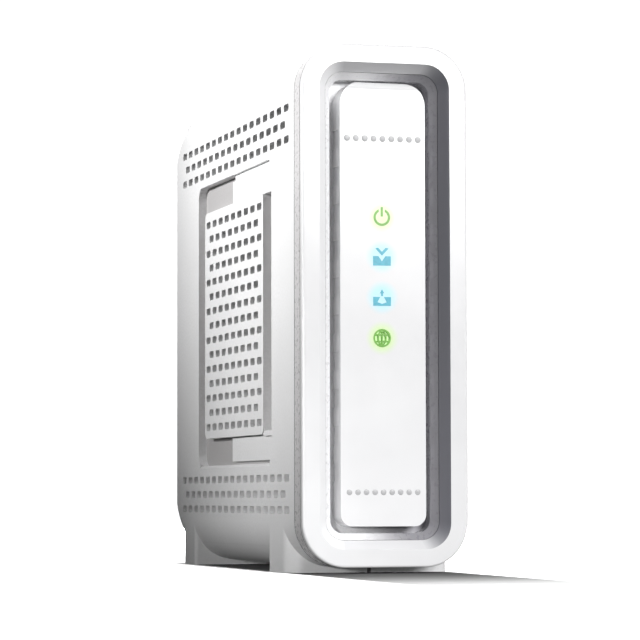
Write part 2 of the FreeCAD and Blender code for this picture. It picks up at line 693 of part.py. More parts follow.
# ---- back ----
def rear_panel():
    """Plate in the back opening, with a flange behind the back wall and a hole for each connector."""
    flange = box(-OPENING_HALF - FLANGE, OPENING_HALF + FLANGE, BODY_DEPTH - 3.8, BODY_DEPTH - 2.05,
                 OPENING[0] - FLANGE, OPENING[1] + FLANGE)
    raised = box(-OPENING_HALF + FIT_GAP, OPENING_HALF - FIT_GAP, BODY_DEPTH - 3.0, BACK_PANEL_FACE,
                 OPENING[0] + FIT_GAP, OPENING[1] - FIT_GAP)
    plate = rounded(flange, OPENING_R, Y_AXIS).fuse(rounded(raised, OPENING_R - FIT_GAP, Y_AXIS))
    d0, d1 = BODY_DEPTH - 6, BODY_DEPTH + 2
    cutters = [
        box(-6.95, 6.9, d0, d1, ETHERNET_Z - 8.15, ETHERNET_Z + 8.15),
        rod_y(THREAD_R + 0.35, d0, d1, 0, COAX_Z),
        box(-4.75, 6.9, d0, d1, POWER_Z - 4.65, POWER_Z + 4.65),
        rod_y(1.7, d0, d1, *RESET_PLACE),
    ]
    for x, z in CASE_SCREWS:
        cutters.append(rod_y(1.7, d0, d1, x, z))
        cutters.append(rod_y(2.9, BACK_PANEL_FACE - 1.3, d1, x, z))
    return plate.cut(cutters)


def case_screws():
    screws = []
    for x, z in CASE_SCREWS:
        head = rod_y(2.6, BACK_PANEL_FACE - 1.25, BACK_PANEL_FACE - 0.05, x, z)
        cross = fused([box(x - 1.5, x + 1.5, BACK_PANEL_FACE - 0.8, BODY_DEPTH, z - 0.3, z + 0.3),
                       box(x - 0.3, x + 0.3, BACK_PANEL_FACE - 0.8, BODY_DEPTH, z - 1.5, z + 1.5)])
        shank = rod_y(1.35, BODY_DEPTH - 8.2, BACK_PANEL_FACE - 1.2, x, z)
        screws.append(head.cut(cross).fuse(shank))
    return Part.makeCompound(screws)


def rating_label():
    label = box(-7.5, 12.5, BACK_PANEL_FACE, BACK_PANEL_FACE + 0.12, 88.0, 112.0)
    return rounded(label, 1.0, Y_AXIS)


def coax_body():
    """Die-cast block on the board with the threaded barrel, bored for the insulator."""
    block = rounded(box(-6.2, COMPONENT_FACE, 119.5, 131.5, COAX_Z - 6.2, COAX_Z + 6.2), 1.0, Y_AXIS)
    thread = rod_y(THREAD_R, THREAD_START, BODY_DEPTH + CONNECTOR_REACH, 0, COAX_Z)
    end = [e for e in thread.Edges if e.BoundBox.YMin > FRONT + BODY_DEPTH + CONNECTOR_REACH - 1e-3]
    barrel = rod_y(BARREL_R, 131.0, THREAD_START, 0, COAX_Z).fuse(thread.makeChamfer(0.4, end))
    bore = rod_y(3.3, 124.0, BODY_DEPTH + CONNECTOR_REACH + 1, 0, COAX_Z)
    return block.fuse(barrel).cut(bore)


def coax_nut():
    """Hexagon nut that clamps the barrel to the panel."""
    corner = NUT_FLATS / math.sqrt(3)
    points = []
    for i in range(6):
        angle = math.radians(60 * i + 30)
        points.append((corner * math.cos(angle), COAX_Z + corner * math.sin(angle)))
    seat = BACK_PANEL_FACE + 0.6
    nut = face_prism(points, seat, seat + 2.2)
    dome = Part.makeCone(corner + 1.6, corner - 0.6, 2.2, V(0, FRONT + seat, COAX_Z), Y_AXIS)
    nut = nut.common(dome)
    washer = rod_y(7.0, BACK_PANEL_FACE, seat, 0, COAX_Z)
    return nut.fuse(washer).cut(rod_y(BARREL_R + 0.05, BACK_PANEL_FACE - 1, BODY_DEPTH + 9, 0, COAX_Z))


def coax_insulator():
    tip = BODY_DEPTH + CONNECTOR_REACH - 0.4
    plug = rod_y(3.25, 124.05, tip, 0, COAX_Z)
    return plug.cut([rod_y(1.05, 123, tip - 1.0, 0, COAX_Z), rod_y(0.6, 123, tip + 1, 0, COAX_Z)])


def coax_contact():
    tip = BODY_DEPTH + CONNECTOR_REACH - 1.5
    tube = rod_y(1.0, 124.1, tip, 0, COAX_Z)
    slots = [box(-0.12, 0.12, tip - 6, tip + 1, COAX_Z - 2, COAX_Z + 2),
             box(-2, 2, tip - 6, tip + 1, COAX_Z - 0.12, COAX_Z + 0.12)]
    return tube.cut([rod_y(0.55, 126, tip + 1, 0, COAX_Z)] + slots)


def ethernet_cavity():
    """The plug's space with its latch notch towards the board."""
    z = ETHERNET_Z
    return [box(-4.6, 3.5, 124.5, BODY_DEPTH + 1, z - 5.9, z + 5.9),
            box(3.4, 5.2, 124.5, BODY_DEPTH + 1, z - 3.1, z + 3.1)]


def ethernet_light_blocks(grow=0.0):
    blocks = []
    for side in (-1, 1):
        z = ETHERNET_Z + side * 5.3
        blocks.append(box(3.9 - grow, 6.0 + grow, 131.0 - grow, BODY_DEPTH - 0.1 + grow,
                          z - 1.4 - grow, z + 1.4 + grow))
    return blocks


def ethernet_contacts():
    """Eight sprung wires that slant into the plug's space."""
    wires = []
    pitch = 1.02
    for i in range(8):
        z = ETHERNET_Z + (i - 3.5) * pitch
        plan = [(-4.7, 134.0), (-4.7, 133.6), (-3.2, 127.0), (-2.9, 127.2), (-4.3, 134.0)]
        root = box(-6.2, -4.55, 132.9, 134.2, z - 0.2, z + 0.2)
        wires.append(upright_prism(plan, z - 0.2, z + 0.2).fuse(root))
    return Part.makeCompound(wires)


def ethernet_jack_housing():
    z = ETHERNET_Z
    block = box(-6.4, COMPONENT_FACE, 121.4, 136.6, z - 7.6, z + 7.6)
    slits = [box(-6.25, -4.5, 132.8, 134.3, z + (i - 3.5) * 1.02 - 0.25, z + (i - 3.5) * 1.02 + 0.25)
             for i in range(8)]
    return block.cut(ethernet_cavity() + ethernet_light_blocks(0.05) + slits)


def ethernet_jack_shield():
    z = ETHERNET_Z
    shell = box(-6.8, COMPONENT_FACE, 121.0, BODY_DEPTH, z - 8.0, z + 8.0)
    inside = box(-6.45, COMPONENT_FACE + 1, 121.35, 136.65, z - 7.65, z + 7.65)
    window = box(-4.9, 6.2, 136, BODY_DEPTH + 1, z - 7.0, z + 7.0)
    return shell.cut([inside, window])


def power_jack_housing():
    block = rounded(box(-4.6, COMPONENT_FACE, 123.0, BODY_DEPTH, POWER_Z - 4.5, POWER_Z + 4.5), 0.6, Y_AXIS)
    bore = rod_y(3.2, 127.0, BODY_DEPTH + 1, 0, POWER_Z)
    slit = box(-4.9, -2.5, 128.0, 134.0, POWER_Z - 1.3, POWER_Z + 1.3)
    return block.cut([bore, slit, rod_y(1.0, 122, 128, 0, POWER_Z)])


def power_jack_pin():
    pin = rod_y(0.95, 123.2, 135.6, 0, POWER_Z)
    end = [e for e in pin.Edges if e.BoundBox.YMin > FRONT + 135.6 - 1e-3]
    return pin.makeFillet(0.4, end)


def power_jack_spring():
    """Bent leaf that presses on the plug's sleeve."""
    plan = [(-4.5, 128.2), (-4.2, 128.2), (-4.2, 129.2), (-2.8, 131.5), (-3.9, 133.8), (-4.2, 133.8),
            (-3.2, 131.5), (-4.5, 129.4)]
    return upright_prism(plan, POWER_Z - 1.1, POWER_Z + 1.1)


def reset_switch():
    x, z = RESET_PLACE
    body = box(x - 3.1, COMPONENT_FACE, 125.0, 129.5, z - 3.1, z + 3.1)
    return body.cut(rod_y(1.6, 127.0, 130.0, x, z))


def reset_button():
    """Plunger that slides forwards into the switch when pressed from behind."""
    x, z = RESET_PLACE
    stem = rod_y(1.15, 128.0, 134.0, x, z)
    head = rod_y(1.3, 133.5, 136.0, x, z)
    end = [e for e in head.Edges if e.BoundBox.YMin > FRONT + 136.0 - 1e-3]
    return stem.fuse(head.makeFillet(0.3, end))


def build():
    parts = half_shells()
    parts.update(symbol_lenses())
    makers = [
        front_bezel, bezel_band, channel_trim, front_panel, light_guide, indicator_leds,
        main_board, board_screws, modem_chip, thermal_pad, heatsink, heatsink_pins, memory_chip, flash_chip,
        tuner_shield_frame, tuner_shield_lid, tuner_chip, ethernet_transformer, electrolytic_capacitors,
        power_inductors, voltage_regulators, crystal, ceramic_capacitors,
        rear_panel, case_screws, rating_label, coax_body, coax_nut, coax_insulator, coax_contact,
        ethernet_jack_housing, ethernet_jack_shield, ethernet_contacts,
        power_jack_housing, power_jack_pin, power_jack_spring, reset_switch, reset_button,
    ]
    for maker in makers:
        parts[maker.__name__] = maker()
    parts["ethernet_lights"] = Part.makeCompound(ethernet_light_blocks())
    return parts


def main():
    os.makedirs("parts", exist_ok=True)
    for name, shape in build().items():
        shape.exportStep(f"parts/{name}.step")
        sound = all(solid.isValid() for solid in shape.Solids)
        print(f"{name}: {len(shape.Solids)} solids, {shape.Volume:.1f} mm3, {'ok' if sound else 'INVALID'}")


main()
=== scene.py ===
import math

import bmesh
import bpy
from mathutils import Matrix, Vector


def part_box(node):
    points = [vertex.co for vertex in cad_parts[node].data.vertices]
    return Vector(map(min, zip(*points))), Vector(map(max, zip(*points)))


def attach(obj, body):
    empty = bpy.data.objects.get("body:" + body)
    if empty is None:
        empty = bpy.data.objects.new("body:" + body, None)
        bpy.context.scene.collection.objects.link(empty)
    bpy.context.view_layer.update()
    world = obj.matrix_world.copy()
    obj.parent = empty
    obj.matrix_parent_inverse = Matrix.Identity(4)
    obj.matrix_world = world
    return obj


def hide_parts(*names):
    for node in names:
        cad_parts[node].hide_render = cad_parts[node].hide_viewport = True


# Looks of the cable modem. Metres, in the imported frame: X across, -Y the front, +Z up.
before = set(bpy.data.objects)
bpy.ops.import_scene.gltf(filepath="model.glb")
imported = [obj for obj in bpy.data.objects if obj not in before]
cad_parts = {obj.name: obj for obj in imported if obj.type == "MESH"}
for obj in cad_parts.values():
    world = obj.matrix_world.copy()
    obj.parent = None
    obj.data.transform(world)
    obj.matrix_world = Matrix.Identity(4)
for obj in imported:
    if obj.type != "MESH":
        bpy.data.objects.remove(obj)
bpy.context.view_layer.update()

MM = 0.001
SYMBOLS = ("power_light", "receive_light", "send_light", "online_light")
GREEN_SYMBOLS = ("power_light", "online_light")

# ---- camera ----
CAMERA_PLACE = Vector((-0.21272, -0.77113, 0.01894))
CAMERA_YAW = 15.676         # degrees to the right of straight ahead
CAMERA_PITCH = 3.417        # degrees upwards
CAMERA_ROLL = -0.123
LENS = 166.458
SENSOR = 36.0

# ---- surroundings ----
FILL_STRENGTH = 0.28
BACKGROUND_STRENGTH = 1.1
FLOOR_NEAR = 0.15           # the floor's paleness in the painted shadow under the object, and far from it
FLOOR_FAR = 6.0
# Each way from the middle: axis, sign, where the floor starts to pale, and over what length
FLOOR_FADES = (
    ("X", -1, 0.020, 0.008),
    ("X", 1, 0.018, 0.008),
    ("Y", -1, 0.074, 0.30),
    ("Y", 1, 0.055, 0.02),
)

# ---- moulded parts ----
RECESS_FLOOR = 19.6 * MM    # side faces nearer the middle than this are the recess's floor
RIM_DEPTH = 0.2 * MM        # how far the painted shadow on the shells' front rim reaches back
BAND_CORNER = 11 * MM
SEAM_DEEP = 0.5 * MM        # deeper than this inside the band's outline is in a seam
PAINTED_SHADE_HALF_SPAN = 8 * MM         # the trim's painted light and shade runs across from minus this to plus this
# Near-black painted shadow for the seams beside the band and the shells' front rim.
PAINTED_SEAM_SHADOW = (0.05, 0.048, 0.05, 1.0)

# ---- symbols ----
GLOW_CORE = 1.9 * MM
GLOW_REACH = 4.6 * MM
PANE_DEPTH = 0.2 * MM
LENS_GLOW = 0.06
GREEN_TONES = ((0.12, 0.37, 0.018, 1.0), (0.15, 0.44, 0.025, 1.0))
BLUE_TONES = ((0.035, 0.38, 0.52, 1.0), (0.05, 0.44, 0.58, 1.0))

# ---- label ----
LABEL_BORDER = 1.2 * MM
LABEL_LINE = 0.09 * MM
LABEL_ROWS = 4

# ---- coaxial connector ----
THREAD_PITCH = 25.4 / 32 * MM
THREAD_DEPTH = 0.42 * MM
BARREL_R = 4.5 * MM
THREAD_R = 4.76 * MM
BORE_R = 3.3 * MM
TIP_CHAMFER = 0.25 * MM
TIP_CHAMFER_LENGTH = 0.4 * MM
THREAD_GAP = 0.2 * MM       # between the nut and the first thread
BARREL_TAIL = 5.2 * MM      # how far the barrel runs back behind the nut
BLOCK_HALF = 6.2 * MM
BLOCK_EDGE = 0.6 * MM
BARREL_POINTS = 72
RINGS_PER_TURN = 10
SHARP_ANGLE = 35

# ---- printed dots ----
DOT_POINTS = 24
DOT_ROOT = 0.01 * MM        # sunk into the panel
DOT_SHOULDER = 0.025 * MM
DOT_CROWN = 0.035 * MM
SHOULDER_SHARE = 0.86


# ---- scene ----
def make_camera():
    data = bpy.data.cameras.new("camera")
    data.lens = LENS
    data.sensor_width = SENSOR
    data.clip_start = 0.05
    data.clip_end = 50
    camera = bpy.data.objects.new("camera", data)
    bpy.context.scene.collection.objects.link(camera)
    turn = (Matrix.Rotation(math.radians(-CAMERA_YAW), 4, "Z")
            @ Matrix.Rotation(math.radians(90 + CAMERA_PITCH), 4, "X")
            @ Matrix.Rotation(math.radians(CAMERA_ROLL), 4, "Z"))
    camera.matrix_world = Matrix.Translation(CAMERA_PLACE) @ turn
    bpy.context.scene.camera = camera


def area_light(name, place, target, width, height, power):
    data = bpy.data.lights.new(name, "AREA")
    data.shape = "RECTANGLE"
    data.size = width
    data.size_y = height
    data.energy = power
    light = bpy.data.objects.new(name, data)
    light.visible_camera = False
    light.location = place
    light.rotation_euler = (Vector(target) - Vector(place)).to_track_quat("-Z", "Y").to_euler()
    bpy.context.scene.collection.objects.link(light)


def spot_light(name, place, target, radius, cone, blend, power):
    data = bpy.data.lights.new(name, "SPOT")
    data.shadow_soft_size = radius
    data.spot_size = math.radians(cone)
    data.spot_blend = blend
    data.energy = power
    light = bpy.data.objects.new(name, data)
    light.location = place
    light.rotation_euler = (Vector(target) - Vector(place)).to_track_quat("-Z", "Y").to_euler()
    bpy.context.scene.collection.objects.link(light)


def make_lights():
    """Key from the front right, a pool on the left side, a low fill, and dim lights above and behind."""
    area_light("front_right_soft", (0.27, -0.80, 0.36), (0, -0.05, 0.07), 0.3, 0.4, 6.7)
    spot_light("left_pool", (-0.60, -0.03, 0.27), (-0.0213, -0.028, 0.165), 0.06, 28.5, 0.6, 24.0)
    spot_light("foot_fill", (-0.45, -0.75, 0.08), (-0.022, -0.050, 0.010), 0.04, 7.0, 1.0, 15.0)
    area_light("overhead_soft", (0.10, 0.35, 0.95), (0, 0.02, 0.0), 0.7, 0.7, 0.4)
    area_light("rear_soft", (0.25, 1.0, 0.22), (0, 0.07, 0.06), 0.5, 0.4, 5.0)


def make_world():
    """White behind everything; the light it gives is dim from the left and from below."""
    world = bpy.data.worlds.new("studio")
    world.use_nodes = True
    bpy.context.scene.world = world
    tree = world.node_tree
    tree.nodes.clear()
    way = tree.nodes.new("ShaderNodeTexCoord").outputs["Generated"]
    split = tree.nodes.new("ShaderNodeSeparateXYZ")
    tree.links.new(way, split.inputs[0])

    def graded(source, low, high, out_low, out_high):
        ramp = tree.nodes.new("ShaderNodeMapRange")
        ramp.interpolation_type = "SMOOTHSTEP"
        for socket, value in zip(ramp.inputs[1:5], (low, high, out_low, out_high)):
            socket.default_value = value
        tree.links.new(source, ramp.inputs[0])
        return ramp.outputs[0]

    def joined(operation, a, b):
        node = tree.nodes.new("ShaderNodeMath")
        node.operation = operation
        tree.links.new(a, node.inputs[0])
        tree.links.new(b, node.inputs[1])
        return node.outputs[0]

    from_side = graded(split.outputs["X"], -0.6, 0.5, 0.15, 1.0)
    from_above = graded(split.outputs["Z"], 0.25, 0.9, 0.0, 0.6)
    above_floor = graded(split.outputs["Z"], -0.2, 0.05, 0.4, 1.0)
    level = joined("MULTIPLY", joined("MAXIMUM", from_side, from_above), above_floor)
    lit = tree.nodes.new("ShaderNodeBackground")
    lit.inputs["Strength"].default_value = FILL_STRENGTH
    tree.links.new(level, lit.inputs["Color"])
    white = tree.nodes.new("ShaderNodeBackground")
    white.inputs["Color"].default_value = (1, 1, 1, 1)
    white.inputs["Strength"].default_value = BACKGROUND_STRENGTH
    mix = tree.nodes.new("ShaderNodeMixShader")
    tree.links.new(tree.nodes.new("ShaderNodeLightPath").outputs["Is Camera Ray"], mix.inputs[0])
    tree.links.new(lit.outputs[0], mix.inputs[1])
    tree.links.new(white.outputs[0], mix.inputs[2])
    out = tree.nodes.new("ShaderNodeOutputWorld")
    tree.links.new(mix.outputs[0], out.inputs["Surface"])


def floor_painted_shadow(maker):
    """Painted shadow: dark under the object and paling quickly away from it, with a faint cloudiness."""
    cloud = maker.graded(maker.noise(6.0, 2.0), 0.3, 0.7, 1.0, 1.02)
    place = maker.split(maker.place)
    total = 0.0
    for axis, sign, start, reach in FLOOR_FADES:
        beyond = maker.calc("SUBTRACT", maker.calc("MULTIPLY", place[axis], sign), start)
        share = maker.calc("MAXIMUM", maker.calc("DIVIDE", beyond, reach), 0.0)
        total = maker.calc("ADD", total, maker.calc("MULTIPLY", share, share))
    away = maker.calc("SQRT", total)
    # Painted shadow: the floor's colour is darkest near the object.
    return maker.calc("MULTIPLY", maker.graded(away, 0.0, 1.0, FLOOR_NEAR, FLOOR_FAR), cloud)


def make_floor():
    """Pale floor, bright enough to run into the white background away from the object."""
    mesh = bmesh.new()
    bmesh.ops.create_grid(mesh, x_segments=8, y_segments=8, size=6.0)
    floor = finish_mesh(mesh, "floor", smooth=False)
    maker = Maker("pale_floor")
    maker.tree.nodes.remove(maker.shader)
    diffuse = maker.tree.nodes.new("ShaderNodeBsdfDiffuse")
    maker.tree.links.new(floor_painted_shadow(maker), diffuse.inputs["Color"])
    out = maker.tree.nodes["Material Output"]
    maker.tree.links.new(diffuse.outputs[0], out.inputs["Surface"])
    floor.data.materials.append(maker.material)
    floor.visible_diffuse = False
    floor.visible_glossy = False
    floor.visible_shadow = False


# ---- material building ----
class Maker:
    """One procedural material. Its methods add nodes and return their output sockets."""

    def __init__(self, name, **sockets):
        self.material = bpy.data.materials.new(name)
        self.material.use_nodes = True
        self.tree = self.material.node_tree
        self.shader = self.tree.nodes["Principled BSDF"]
        self.coordinates = self.tree.nodes.new("ShaderNodeTexCoord")
        self.place = self.coordinates.outputs["Object"]
        for label, value in sockets.items():
            self.shader.inputs[label.replace("_", " ")].default_value = value

    def node(self, kind, *sources, **settings):
        made = self.tree.nodes.new(kind)
        for name, value in settings.items():
            setattr(made, name, value)
        for socket, source in zip(made.inputs, sources):
            self.feed(source, socket)
        return made

    def feed(self, source, socket):
        if isinstance(source, bpy.types.NodeSocket):
            self.tree.links.new(source, socket)
        else:
            socket.default_value = source

    def noise(self, scale, detail=2.0, stretch=(1, 1, 1)):
        place = self.node("ShaderNodeMapping", self.place)
        place.inputs["Scale"].default_value = stretch
        made = self.node("ShaderNodeTexNoise", place.outputs[0])
        made.inputs["Scale"].default_value = scale
        made.inputs["Detail"].default_value = detail
        return made.outputs["Fac"]

    def graded(self, value, low, high, out_low=0.0, out_high=1.0):
        made = self.node("ShaderNodeMapRange", value, low, high, out_low, out_high)
        made.interpolation_type = "SMOOTHSTEP"
        return made.outputs[0]

    def calc(self, operation, *values):
        return self.node("ShaderNodeMath", *values, operation=operation).outputs[0]

    def mixed(self, factor, first, second):
        made = self.node("ShaderNodeMix", data_type="RGBA")
        self.feed(factor, made.inputs[0])
        self.feed(first, made.inputs[6])
        self.feed(second, made.inputs[7])
        return made.outputs[2]

    def split(self, vector):
        return self.node("ShaderNodeSeparateXYZ", vector).outputs

    def bump(self, height, distance):
        made = self.node("ShaderNodeBump")
        made.inputs["Strength"].default_value = 1.0
        made.inputs["Distance"].default_value = distance
        self.feed(height, made.inputs["Height"])
        return made.outputs[0]

    def use(self, **sources):
        for label, source in sources.items():
            self.feed(source, self.shader.inputs[label.replace("_", " ")])


def rgba(*colour):
    return (*colour, 1.0)


def scaled(colour, factor):
    return tuple(c * factor for c in colour[:3]) + (1.0,)


def moulded(name, colour, gloss, grain=2200.0, relief=0.03, shade=0.94, **sockets):
    """Moulded plastic: faint cloudy tone, fine grain as bump, and uneven gloss."""
    maker = Maker(name, **sockets)
    tone = maker.graded(maker.noise(38.0, 3.0), 0.3, 0.7)
    speck = maker.noise(grain, 2.0)
    maker.tone = maker.mixed(tone, scaled(colour, shade), colour)
    maker.use(Base_Color=maker.tone,
              Roughness=maker.graded(speck, 0.3, 0.7, gloss * 0.85, gloss * 1.15),
              Normal=maker.bump(speck, relief * MM))
    return maker


def metal(name, colour, roughness, brush=(1, 1, 1), relief=0.008, **sockets):
    """Plated or bare metal with fine drawn lines along one direction."""
    maker = Maker(name, Metallic=1.0, **sockets)
    lines = maker.noise(1800.0, 4.0, brush)
    stain = maker.graded(maker.noise(160.0, 3.0), 0.35, 0.75)
    maker.use(Base_Color=maker.mixed(stain, colour, scaled(colour, 0.82)),
              Roughness=maker.graded(lines, 0.25, 0.75, roughness * 0.7, roughness * 1.3),
              Normal=maker.bump(lines, relief * MM))
    return maker


# ---- the materials ----
def shell_plastic():
    """Satin white with a spark-eroded grain; painted shade makes the recess's floor grey, and a painted
    shadow darkens the front rim.
    """
    maker = moulded("shell_plastic", rgba(0.86, 0.86, 0.865), 0.46, grain=1900.0, relief=0.05,
                    Specular_IOR_Level=0.4)
    place = maker.split(maker.place)
    facing = maker.split(maker.coordinates.outputs["Normal"])
    inward = maker.calc("ABSOLUTE", place["X"])
    deep = maker.graded(inward, RECESS_FLOOR - 0.2 * MM, RECESS_FLOOR, 1.0, 0.0)
    sideways = maker.graded(maker.calc("ABSOLUTE", facing["X"]), 0.8, 0.95)
    floor = maker.calc("MULTIPLY", deep, sideways)
    speck = maker.graded(maker.noise(1500.0, 3.0), 0.35, 0.65)
    peppered = maker.mixed(speck, maker.tone, rgba(0.80, 0.80, 0.80))
    # Painted shade: the recess's floor gets a grey base colour for the shade that falls in the recess.
    painted_moat_shade = maker.mixed(floor, peppered, rgba(0.46, 0.45, 0.45))
    # Painted shadow: the shells' forward-facing front rim wall is coloured near black.
    rim = maker.calc("MULTIPLY", maker.calc("LESS_THAN", facing["Y"], -0.7),
                    maker.calc("LESS_THAN", place["Y"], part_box("left_shell")[0].y + RIM_DEPTH))
    maker.use(Base_Color=maker.mixed(rim, painted_moat_shade, PAINTED_SEAM_SHADOW))
    return maker.material


def bezel_plastic():
    """Glossy white, with painted light and shade in grey on the sloping facets around the opening."""
    maker = moulded("bezel_plastic", rgba(0.87, 0.87, 0.88), 0.2, grain=900.0, relief=0.002,
                    Coat_Weight=0.25, Coat_Roughness=0.08)
    low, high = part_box("front_bezel")
    place = maker.split(maker.place)
    facing = maker.split(maker.coordinates.outputs["Normal"])
    from_middle = maker.calc("SUBTRACT", place["Z"], (low.z + high.z) / 2)
    outward = maker.calc("ADD", maker.calc("MULTIPLY", place["X"], facing["X"]),
                        maker.calc("MULTIPLY", from_middle, facing["Z"]))
    facet = maker.graded(outward, -4 * MM, -2 * MM, 1.0, 0.0)
    # Painted light and shade: the facets' grey follows which way they face.
    maker.use(Base_Color=maker.mixed(facet, maker.tone, facet_light_and_shade(maker, facing)))
    return maker.material


def facet_light_and_shade(maker, facing):
    """Painted light and shade for the facets: pale where they face up or to the right, deep grey where they
    face down or to the left.
    """
    slant = maker.calc("ADD", facing["X"], maker.calc("MULTIPLY", facing["Z"], 0.1))
    pale = maker.graded(slant, -0.8, 0.4)
    return maker.mixed(pale, rgba(0.25, 0.25, 0.28), rgba(0.93, 0.93, 0.94))


def band_plastic():
    """The bezel's plastic a shade greyer, with near-black painted shadow down in the two seams beside the
    band and on its walls that face forward.
    """
    maker = moulded("band_plastic", rgba(0.66, 0.65, 0.655), 0.3, grain=900.0, relief=0.0003)
    low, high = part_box("bezel_band")
    place = maker.split(maker.place)
    over_x = overhang(maker, place["X"], low.x, high.x)
    over_z = overhang(maker, place["Z"], low.z, high.z)
    seam = maker.calc("LESS_THAN", length(maker, over_x, over_z), BAND_CORNER - SEAM_DEEP)
    facing = maker.split(maker.coordinates.outputs["Normal"])
    wall = maker.calc("LESS_THAN", facing["Y"], -0.7)
    # Painted shadow: the seams and the band's forward-facing walls are coloured near black.
    dark = maker.calc("MAXIMUM", seam, wall)
    maker.use(Base_Color=maker.mixed(dark, maker.tone, PAINTED_SEAM_SHADOW))
    return maker.material


def length(maker, a, b):
    """Length of a vector with these two parts."""
    return maker.calc("SQRT", maker.calc("ADD", maker.calc("MULTIPLY", a, a), maker.calc("MULTIPLY", b, b)))


def overhang(maker, value, low, high):
    """How far a coordinate lies outside the straight part of the band's rounded outline."""
    offset = maker.calc("ABSOLUTE", maker.calc("SUBTRACT", value, (low + high) / 2))
    return maker.calc("MAXIMUM", maker.calc("SUBTRACT", offset, (high - low) / 2 - BAND_CORNER), 0.0)


def within(maker, value, low, high):
    """1 between two values, 0 outside."""
    above = maker.calc("GREATER_THAN", value, low)
    below = maker.calc("LESS_THAN", value, high)
    return maker.calc("MULTIPLY", above, below)


def trim_plastic():
    """Satin tray with painted light and shade: pale on the left and deeper grey towards the right."""
    maker = moulded("trim_plastic", rgba(0.76, 0.755, 0.77), 0.3, grain=900.0, relief=0.002,
                    Coat_Weight=0.2, Coat_Roughness=0.2)
    across = maker.split(maker.place)["X"]
    # Painted light and shade: the base colour runs from pale at the left to deep grey at the right.
    painted_left_light = maker.graded(across, -PAINTED_SHADE_HALF_SPAN, PAINTED_SHADE_HALF_SPAN, 1.0, 0.0)
    maker.use(Base_Color=maker.mixed(painted_left_light, rgba(0.34, 0.335, 0.36), rgba(0.95, 0.95, 0.96)))
    return maker.material


def glow(maker, nodes):
    """How strongly the light of these symbols shines through at a point of the panel, 0 to 1."""
    place = maker.split(maker.place)
    total = None
    for name in nodes:
        low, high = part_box(name)
        dx = maker.calc("SUBTRACT", place["X"], (low.x + high.x) / 2)
        dz = maker.calc("SUBTRACT", place["Z"], (low.z + high.z) / 2)
        halo = maker.graded(length(maker, dx, dz), GLOW_CORE, GLOW_REACH, 1.0, 0.0)
        total = halo if total is None else maker.calc("MAXIMUM", total, halo)
    return total


def panel_plastic():
    """Gloss white plate, with the lit symbols' glow painted into its colour and emission around each
    symbol.
    """
    maker = moulded("panel_plastic", rgba(0.88, 0.88, 0.89), 0.22, grain=1200.0, relief=0.004,
                    Coat_Weight=0.3, Coat_Roughness=0.08, Emission_Strength=0.05)
    green = glow(maker, GREEN_SYMBOLS)
    blue = glow(maker, [name for name in SYMBOLS if name not in GREEN_SYMBOLS])
    # Painted light: the base colour near each symbol is tinted green or blue by its glow.
    painted_glow_colour = maker.mixed(green, maker.tone, rgba(0.70, 0.90, 0.46))
    painted_glow_colour = maker.mixed(blue, painted_glow_colour, rgba(0.55, 0.86, 0.95))
    light = maker.mixed(green, rgba(0, 0, 0), rgba(0.55, 0.85, 0.30))
    light = maker.mixed(blue, light, rgba(0.35, 0.80, 0.95))
    maker.use(Base_Color=painted_glow_colour, Emission_Color=light)
    return maker.material


def lens(name, tones):
    """Dimly lit lens with a mottled, diffusing body."""
    maker = Maker(name, Roughness=0.3, Emission_Strength=LENS_GLOW)
    mottle = maker.graded(maker.noise(1400.0, 2.0), 0.35, 0.65)
    colour = maker.mixed(mottle, *tones)
    maker.colour = colour
    maker.use(Base_Color=colour, Emission_Color=colour, Normal=maker.bump(mottle, 0.004 * MM))
    return maker


def globe_lens():
    """Green lens whose sunken panes shine paler than the web in front of them."""
    maker = lens("globe_lens", GREEN_TONES)
    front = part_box("online_light")[0].y
    depth = maker.split(maker.place)["Y"]
    pane = maker.calc("GREATER_THAN", depth, front + PANE_DEPTH)
    shown = maker.mixed(pane, maker.colour, rgba(0.62, 0.92, 0.40))
    maker.use(Base_Color=shown, Emission_Color=shown)
    return maker.material


def clear_acrylic():
    maker = Maker("clear_acrylic", IOR=1.49, Transmission_Weight=0.9)
    haze = maker.graded(maker.noise(300.0, 2.0), 0.3, 0.7, 0.05, 0.14)
    maker.use(Base_Color=maker.mixed(haze, rgba(0.95, 0.97, 0.98), rgba(0.8, 0.84, 0.85)), Roughness=haze)
    return maker.material


def solder_mask():
    """Board with darker copper runs under the mask and small vias."""
    maker = Maker("solder_mask", Coat_Weight=0.4, Coat_Roughness=0.15)
    runs = maker.node("ShaderNodeTexVoronoi", maker.place, distance="MANHATTAN", feature="DISTANCE_TO_EDGE")
    runs.inputs["Scale"].default_value = 260.0
    line = maker.graded(runs.outputs["Distance"], 0.02, 0.09, 1.0, 0.0)
    vias = maker.node("ShaderNodeTexVoronoi", maker.place)
    vias.inputs["Scale"].default_value = 330.0
    dot = maker.graded(vias.outputs["Distance"], 0.10, 0.14, 1.0, 0.0)
    mask = maker.mixed(line, rgba(0.020, 0.055, 0.045), rgba(0.035, 0.095, 0.07))
    maker.use(Base_Color=maker.mixed(dot, mask, rgba(0.42, 0.38, 0.28)),
              Roughness=maker.graded(dot, 0, 1, 0.42, 0.25),
              Normal=maker.bump(line, 0.02 * MM))
    return maker.material


